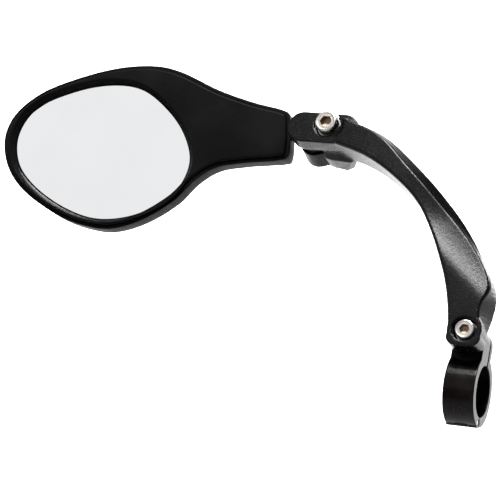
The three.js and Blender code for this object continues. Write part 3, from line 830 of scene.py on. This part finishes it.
    def dress(self, plastic: bpy.types.Material, glass: bpy.types.Material) -> None:
        """Build and dress the head's three large pieces."""
        dress(self.build_shell(), "head", "shell_plastic", plastic, "rear_shell")
        dress(self.build_bezel(), "head", "shell_plastic", plastic, "front_bezel")
        dress(self.build_glass(), "head", "lens", glass, "lens_glass")


# ---- Forged pieces ----
@dataclass
class Forging:
    """A forged and painted piece: its CAD solid rebuilt with the rounded edges of a forging."""

    node: str
    body: str
    slot: str
    voxel: float
    passes: int

    def build(self) -> bpy.types.Object:
        """Build the rounded piece."""
        piece = cad_copy(self.node, self.node + "_forged")
        soften(piece, self.voxel, self.passes)
        return piece

    def dress(self, paint: bpy.types.Material) -> None:
        """Build and dress the piece."""
        dress(self.build(), self.body, self.slot, paint, self.node)


@dataclass
class CurvedArm(Forging):
    """The arm: its front face folds back above the swivel lug and rises again towards the ball.

    Sizes are in millimetres in the bracket's plane.
    """

    face: float = 22.0
    front_depth: float = 7.0
    fold_left: Point2 = (-17.9, 55.8)
    fold_right: Point2 = (5.3, 36.1)
    fold_slope: float = 0.3
    fold_reach: float = 23.0
    lug_face: float = 19.6
    fillet_start: float = 6.8
    fillet_width: float = 2.4
    fold_rounding: float = 1.3
    fade_start: float = 24.0
    fade_end: float = 56.0
    lowest_reach: float = -8.0
    longest_reach: float = 60.0

    def _drop(self, spot: Vector) -> float:
        """Return how far the face lies back at spot."""
        left, right = Vector(self.fold_left), Vector(self.fold_right)
        along = (right - left).normalized()
        away = Vector((spot.x, spot.y)) - left
        reach = (away.y * along.x - away.x * along.y) / self.fold_rounding
        if reach < self.lowest_reach:
            return 0.0
        reach = math.log1p(math.exp(min(reach, self.longest_reach))) * self.fold_rounding
        front = ease((spot.z - self.face + self.front_depth) / self.front_depth)
        far = ((spot.xy - (left + right) / 2).length - self.fade_start) / (self.fade_end - self.fade_start)
        return self.fold_slope * reach * math.exp(-reach / self.fold_reach) * front * (1 - ease(far))

    def build(self) -> bpy.types.Object:
        """Build the rounded arm with its folded face."""
        piece = super().build()
        inverse = BRACKET.inverted()
        low, high = node_box("ball_clamp_bolt", BRACKET)
        bolt = (low + high) / 2
        for vertex in piece.data.vertices:
            spot = (inverse @ vertex.co) / MM
            spot.z -= self._drop(spot)
            away = (spot.xy - bolt.xy).length - self.fillet_start
            if spot.z > self.lug_face and away < self.fillet_width:
                share = min(1.0, max(0.0, away / self.fillet_width))
                spot.z = self.lug_face + (spot.z - self.lug_face) * share ** 1.5
            vertex.co = BRACKET @ (spot * MM)
        piece.data.update()
        return piece


# ---- Screws ----
class KnurlStyle(Enum):
    """How the side of a screw's head is finished."""

    PLAIN = "plain"
    RIBBED = "ribbed"


def add_node(
    tree: bpy.types.NodeTree, kind: str, inputs: dict | None = None, **settings: object
) -> bpy.types.Node:
    """Add a geometry node.

    Args:
        tree: The tree that gets it.
        kind: The node's type name.
        inputs: Values of its unlinked inputs.
        **settings: Attributes, set before the inputs.

    Returns:
        The new node.
    """
    made = tree.nodes.new(kind)
    for key, value in settings.items():
        setattr(made, key, value)
    for key, value in (inputs or {}).items():
        made.inputs[key].default_value = value
    return made


@dataclass
class RibRing:
    """A ring of upright ribs around a screw head, laid by a geometry tree."""

    radius: float
    height: float
    count: int
    rib_radius: float
    floor: float
    rib_sides: int = 8

    def tree(self, material: bpy.types.Material) -> tuple[bpy.types.NodeTree, dict[str, str]]:
        """Return the tree that stands ribs around a circle, and its inputs' identifiers by name."""
        tree = bpy.data.node_groups.new("rib_ring", "GeometryNodeTree")
        sockets = {}
        for name, kind in (
            ("Radius", "NodeSocketFloat"), ("Height", "NodeSocketFloat"), ("Floor", "NodeSocketFloat"),
            ("Rib Radius", "NodeSocketFloat"), ("Count", "NodeSocketInt"),
        ):
            sockets[name] = tree.interface.new_socket(name, in_out="INPUT", socket_type=kind)
        tree.interface.new_socket("Geometry", in_out="OUTPUT", socket_type="NodeSocketGeometry")
        start = add_node(tree, "NodeGroupInput")
        end = add_node(tree, "NodeGroupOutput")
        link = tree.links.new
        circle = add_node(tree, "GeometryNodeMeshCircle", fill_type="NONE")
        link(start.outputs["Count"], circle.inputs["Vertices"])
        link(start.outputs["Radius"], circle.inputs["Radius"])
        rib = add_node(tree, "GeometryNodeMeshCylinder", {"Vertices": self.rib_sides})
        link(start.outputs["Rib Radius"], rib.inputs["Radius"])
        link(start.outputs["Height"], rib.inputs["Depth"])
        lift = add_node(tree, "ShaderNodeCombineXYZ")
        link(start.outputs["Floor"], lift.inputs["Z"])
        stand = add_node(tree, "GeometryNodeInstanceOnPoints")
        link(circle.outputs[0], stand.inputs["Points"])
        link(rib.outputs[0], stand.inputs["Instance"])
        move = add_node(tree, "GeometryNodeTransform")
        link(stand.outputs[0], move.inputs["Geometry"])
        link(lift.outputs[0], move.inputs["Translation"])
        real = add_node(tree, "GeometryNodeRealizeInstances")
        link(move.outputs[0], real.inputs[0])
        paint = add_node(tree, "GeometryNodeSetMaterial", {"Material": material})
        link(real.outputs[0], paint.inputs["Geometry"])
        link(paint.outputs[0], end.inputs[0])
        return tree, {name: socket.identifier for name, socket in sockets.items()}

    def build(self, name: str, place: Matrix, material: bpy.types.Material) -> bpy.types.Object:
        """Build the ribs as one mesh.

        Args:
            name: The object's name.
            place: The screw's frame, z out of its head.
            material: The ribs' material.

        Returns:
            The ribs.
        """
        holder = scene_object(name, bpy.data.meshes.new(name))
        step = holder.modifiers.new("ribs", "NODES")
        step.node_group, identifiers = self.tree(material)
        values = {
            "Radius": self.radius * MM, "Height": self.height * MM, "Count": self.count,
            "Rib Radius": self.rib_radius * MM, "Floor": (self.floor + self.height / 2) * MM,
        }
        for key, value in values.items():
            step[identifiers[key]] = value
        apply_modifiers(holder)
        holder.data.transform(place)
        finish_surface(holder, sharp_deg=60)
        return holder


@dataclass
class SocketScrew:
    """A socket head cap screw drawn along its own z with the top of its head at z = 0.

    Sizes are in millimetres.
    """

    name: str
    node: str
    body: str
    head: float
    head_height: float
    hex: float
    hex_depth: float
    shank: float
    tip: float
    style: KnurlStyle = KnurlStyle.RIBBED
    sides: int = 96
    edge: float = 0.55
    edge_steps: int = 8
    under_bevel: float = 0.3
    rib_share: float = 0.06
    tip_bevel: float = 0.4
    dish: float = 0.22
    ring_share: float = 0.74
    drill_depth: float = 0.5
    mouth: float = 0.4
    mouth_run: float = 0.95
    wall_start: float = 0.32
    rib_count: int = 46
    rib_radius: float = 0.15
    rib_margin: float = 0.45

    def place(self) -> Matrix:
        """Return the screw's frame: the CAD screw's head centre, z along the swivel bolt's axis."""
        low, high = node_box(self.node, BRACKET)
        middle = (low + high) / 2
        return BRACKET @ Matrix.Translation(Vector((middle.x, middle.y, high.z)) * MM)

    def _profile(self) -> list[Point2]:
        """Return the (radius, height) profile from the tip up over the head and into its dish."""
        side = self.head / 2 - self.rib_share
        shank, under, ring = self.shank / 2, -self.head_height, self.head / 2 * self.ring_share
        profile: list[Point2] = [(0, -self.tip), (shank - self.tip_bevel, -self.tip)]
        profile += [(shank, self.tip_bevel - self.tip), (shank, under)]
        profile += [(self.head / 2 - self.under_bevel, under), (side, self.under_bevel + under)]
        for i in range(self.edge_steps + 1):
            t = math.pi / 2 * i / self.edge_steps
            profile.append((side - self.edge * (1 - math.cos(t)), -self.edge * (1 - math.sin(t))))
        profile += [(ring + 0.34, 0), (ring + 0.12, -0.05), (ring, -self.dish), (ring - 0.2, -self.dish)]
        return [*profile, (0, -self.dish)]

    def build(self) -> bpy.types.Object:
        """Build the screw with its rounded edge, recessed ring, hex socket and shank."""
        place = self.place()
        piece = turned(self.name, self._profile(), self.sides, place)
        flats = self.hex / math.sqrt(3)
        bore = [(0, -self.hex_depth - self.drill_depth), (flats, -self.hex_depth), (flats, 1), (0, 1)]
        top = self.mouth + 0.2
        mouth = [
            (0, -self.dish - 0.6), (flats + self.mouth - self.mouth_run, -self.dish - 0.35),
            (flats + self.mouth, top), (0, top),
        ]
        cut(piece, [turned("hex_tool", bore, 6, place), turned("mouth_tool", mouth, 64, place)])
        finish_surface(piece, sharp_deg=28)
        return piece

    def dress(self, metal: bpy.types.Material, socket: bpy.types.Material) -> None:
        """Build and dress the screw, with the socket's floor and walls browned as painted shade."""
        piece = self.build()
        piece.data.materials.append(metal)
        piece.data.materials.append(socket)
        local = self.place().inverted()
        reach = self.hex / math.sqrt(3) * 1.02 * MM  # a little past the socket's corners
        top, bottom = -(self.dish + self.wall_start) * MM, -self.tip * MM * 0.6
        # the faces inside the socket get the dark brown painted shade
        for face in piece.data.polygons:
            spot = local @ face.center
            if spot.xy.length < reach and bottom < spot.z < top:
                face.material_index = 1
        dress(piece, self.body, "steel", metal, self.node)
        if self.style is KnurlStyle.RIBBED:
            ribs = RibRing(
                radius=self.head / 2 - 0.1,
                height=self.head_height - self.edge - 2 * self.rib_margin,
                count=self.rib_count,
                rib_radius=self.rib_radius,
                floor=-self.head_height + self.rib_margin,
            )
            dress(ribs.build(self.name + "_ribs", self.place(), metal), self.body, "steel", metal)


@dataclass
class ShellScrews:
    """The four small screws in the back of the head, as one mesh: turned heads with a hex socket.

    Sizes are in millimetres.
    """

    nodes: tuple[str, ...] = ("shell_screw_1", "shell_screw_2", "shell_screw_3", "shell_screw_4")
    shank_radius: float = 1.1
    head_radius: float = 2.2
    head_height: float = 1.6
    socket_radius: float = 0.87
    sides: int = 40

    def _screw(self, node: str) -> bpy.types.Object:
        """Build the screw that stands for one CAD node."""
        low, high = node_box(node, HEAD)
        middle = (low + high) / 2
        foot = Matrix.Translation(Vector((middle.x, middle.y, low.z)) * MM)
        place = HEAD @ foot @ Matrix.Rotation(math.pi, 4, "X")
        tip, shank, head = low.z - high.z, self.shank_radius, self.head_radius
        profile: list[Point2] = [(0, tip), (shank, tip), (shank, -self.head_height)]
        profile += [(head - 0.05, -self.head_height), (head, -0.5), (head - 0.1, -0.2)]
        profile += [(head - 0.35, -0.02), (head - 1.0, 0.0), (0, 0.0)]
        screw = turned("shell_screws", profile, self.sides, place)
        socket = [(0, -1.1), (self.socket_radius, -1.0), (self.socket_radius, 1), (0, 1)]
        cut(screw, [turned("hex_tool", socket, 6, place)])
        return screw

    def build(self) -> bpy.types.Object:
        """Build the screws as one mesh."""
        whole = join([self._screw(node) for node in self.nodes])
        finish_surface(whole, sharp_deg=32)
        return whole

    def dress(self, metal: bpy.types.Material) -> None:
        """Build and dress the screws."""
        dress(self.build(), "head", "steel", metal, *self.nodes)


# ---- Studio ----
@dataclass(frozen=True)
class Softbox:
    """One flat light: where it stands around the object, its size in metres and its power in watts."""

    name: str
    azimuth: float
    elevation: float
    distance: float
    width: float
    height: float
    power: float


@dataclass(frozen=True)
class Studio:
    """A plain pale floor, glowing paper behind it, soft lights and the camera, in metres and degrees."""

    azimuth: float = 22.9
    elevation: float = 11.5
    distance: float = 0.750
    lens: float = 126.45
    sensor: float = 36.0
    aim_across: float = -0.0929
    aim_up: float = 0.0599
    room: float = 3.0
    floor_drop: float = 0.6
    floor_end: float = 0.55
    paper_glow: float = 1.1
    sky: float = 0.05
    lights: tuple[Softbox, ...] = (
        Softbox("lens_card", -20.0, 37.0, 2.5, 2.3, 1.9, 11.6),
        Softbox("key", 2.0, 78.0, 1.5, 0.5, 0.5, 78.0),
        Softbox("left", -78.0, 28.0, 1.3, 0.4, 0.4, 2.6),
        Softbox("side", 157.0, -6.0, 1.1, 0.5, 0.8, 16.0),
    )

    @staticmethod
    def _way(azimuth: float, elevation: float) -> Vector:
        """Return the direction from the object towards a place around it, from two angles in degrees."""
        a, e = math.radians(azimuth), math.radians(elevation)
        return Vector((math.sin(a) * math.cos(e), -math.cos(a) * math.cos(e), math.sin(e)))

    def _floor(self) -> None:
        """Lay the plain floor well below the object and stand the glowing paper behind it."""
        size, fold, low = self.room, self.floor_end, -self.floor_drop
        seam = [(size, fold, low), (-size, fold, low)]
        sheets = (
            ("studio_floor", [(-size, -size, low), (size, -size, low), *seam], 0.0),
            ("studio_paper", [*reversed(seam), (size, size, size), (-size, size, size)], self.paper_glow),
        )
        for name, corners, glow in sheets:
            mesh = bpy.data.meshes.new(name)
            mesh.from_pydata(corners, [], [(0, 1, 2, 3)])
            g = Graph(name + "_white")
            g.set(Base_Color=rgba(0.85, 0.85, 0.85), Roughness=0.9 + g.noise(0.1) * 0.05)
            g.set(Emission_Color=rgba(1, 1, 1), Emission_Strength=glow)
            mesh.materials.append(g.material)
            scene_object(name, mesh)

    def _sky(self) -> None:
        """Surround the scene with even white light."""
        world = bpy.data.worlds.new("studio_sky")
        world.use_nodes = True
        back = world.node_tree.nodes["Background"]
        back.inputs["Color"].default_value = rgba(1, 1, 1)
        back.inputs["Strength"].default_value = self.sky
        bpy.context.scene.world = world

    def _lamps(self, aim: Vector) -> None:
        """Stand the softboxes around aim."""
        for box in self.lights:
            data = bpy.data.lights.new(box.name, "AREA")
            data.shape = "RECTANGLE"
            data.size, data.size_y = box.width, box.height
            data.energy = box.power
            lamp = scene_object(box.name, data)
            way = self._way(box.azimuth, box.elevation)
            lamp.location = aim + way * box.distance
            lamp.rotation_euler = way.to_track_quat("Z", "Y").to_euler()

    def build(self) -> None:
        """Build the studio and make its camera the scene's."""
        back = self._way(self.azimuth, self.elevation)
        right = Vector((0, 0, 1)).cross(back).normalized()
        up = back.cross(right)
        aim = right * self.aim_across + up * self.aim_up
        data = bpy.data.cameras.new("camera")
        data.lens = self.lens
        data.sensor_width = self.sensor
        data.clip_start = 0.01
        camera = scene_object("camera", data)
        camera.matrix_world = Matrix.Translation(aim + back * self.distance) @ (
            Matrix((right, up, back)).transposed().to_4x4())
        bpy.context.scene.camera = camera
        self._floor()
        self._sky()
        self._lamps(aim)
        bpy.context.scene.view_settings.view_transform = "Standard"


def dress_nodes(materials: dict[str, bpy.types.Material], nodes: Iterable[tuple[str, str]]) -> None:
    """Give CAD nodes that stay visible their materials.

    Args:
        materials: Materials by name.
        nodes: (node, material name) pairs.
    """
    for node, name in nodes:
        mesh = frame["nodes"][node].data
        mesh.materials.clear()
        mesh.materials.append(materials[name])
        LOG.info("%s: dressed in %s", node, name)


def main() -> None:
    """Build and dress every sub-assembly, then the studio."""
    logging.basicConfig(level=logging.INFO, format="%(name)s %(message)s")
    axis = tuple(joint("arm_swivel")["axis"])
    plastic = Moulding().make()
    coat = PowderCoat().make()
    paint = SmoothPaint().make()
    MirrorHead().dress(plastic, MirrorGlass().make())
    blackened = Plain("blackened_steel", rgba(0.02, 0.019, 0.018), 0.35, 0.8)
    CurvedArm("arm", "arm_body", "arm_paint", voxel=0.4, passes=3).dress(coat)
    Forging("ball_clamp_cap", "arm_body", "arm_paint", voxel=0.25, passes=2).dress(coat)
    Forging("front_jaw", "fixed_clamp", "clamp_paint", voxel=0.22, passes=2).dress(paint)
    Forging("rear_jaw", "rear_clamp", "clamp_paint", voxel=0.22, passes=2).dress(paint)
    Forging("ball_stud", "stud", "stud_steel", voxel=0.2, passes=2).dress(blackened.make())
    # dark brown painted shade for the insides of the screws' hex sockets
    socket = SocketShade().make()
    swivel = SocketScrew(
        name="swivel_bolt", node="clamp_bolt", body="clamp_screw",
        head=8.5, head_height=5.0, hex=4.0, hex_depth=2.6, shank=5.0, tip=26.1,
    )
    ball = SocketScrew(
        name="ball_bolt", node="ball_clamp_bolt", body="arm_body",
        head=10.0, head_height=5.4, hex=5.0, hex_depth=3.0, shank=6.0, tip=30.0,
    )
    for screw in (swivel, ball):
        centre = tuple(screw.place().translation)
        screw.dress(Stainless(screw.name + "_steel", centre, axis).make(), socket)
    shell_steel = Plain("screw_steel", rgba(0.5, 0.49, 0.47), 0.3, 1.0)
    ShellScrews().dress(shell_steel.make())
    plain = {
        "washer": Plain("washer_steel", rgba(0.45, 0.44, 0.42), 0.32, 1.0).make(),
        "nylon": Plain("seat_nylon", rgba(0.012, 0.012, 0.012), 0.5).make(),
        "silver": Plain("silvering", rgba(0.8, 0.81, 0.82), 0.12, 1.0).make(),
        "foam": Plain("foam_tape", rgba(0.03, 0.03, 0.03), 0.9).make(),
        "pin": Plain("pin_steel", rgba(0.3, 0.29, 0.28), 0.35, 1.0).make(),
    }
    dress_nodes(plain, (
        ("hinge_pin", "pin"), ("clamp_washer", "washer"), ("ball_clamp_washer", "washer"),
        ("ball_seat_front", "nylon"), ("ball_seat_rear", "nylon"),
        ("lens_silvering", "silver"), ("lens_pad", "foam"),
    ))
    Studio().build()


if __name__ == "__main__":
    main()
